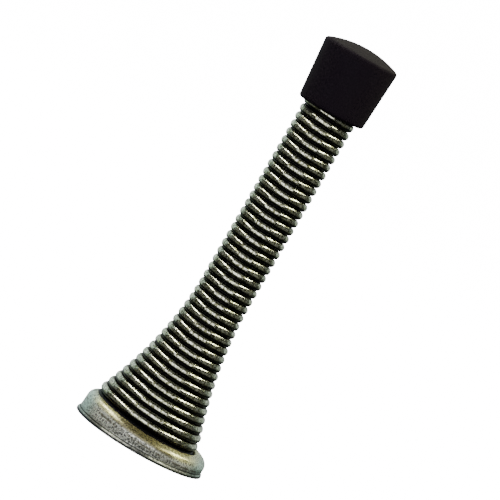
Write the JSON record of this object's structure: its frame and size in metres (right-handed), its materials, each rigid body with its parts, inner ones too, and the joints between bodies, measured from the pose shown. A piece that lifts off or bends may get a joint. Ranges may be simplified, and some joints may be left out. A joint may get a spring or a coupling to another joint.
{
  "type": "spring door stop",
  "caption": "Flared coil spring on a pressed round base, with a domed rubber tip, screwed to a wall or skirting to stop a door.",
  "frame": {"origin": "centre of the rim of the base, on the wall face", "axes": "+Z along the stop, away from the wall towards the rubber tip; the ring of the base leans towards +X, and the foot of the coil stands to the -X side of the middle"},
  "size_m": [0.0254, 0.0254, 0.0809],
  "materials": {
    "blackened_wire": "antique blackened, rubbed bright on the crests",
    "pressed_sheet": "antique pewter, mottled",
    "black_rubber": "matte"
  },
  "bodies": {
    "root": {"base_flange": "pressed_sheet", "coil_spring": "blackened_wire", "rubber_tip": "black_rubber"}
  },
  "joints": []
}
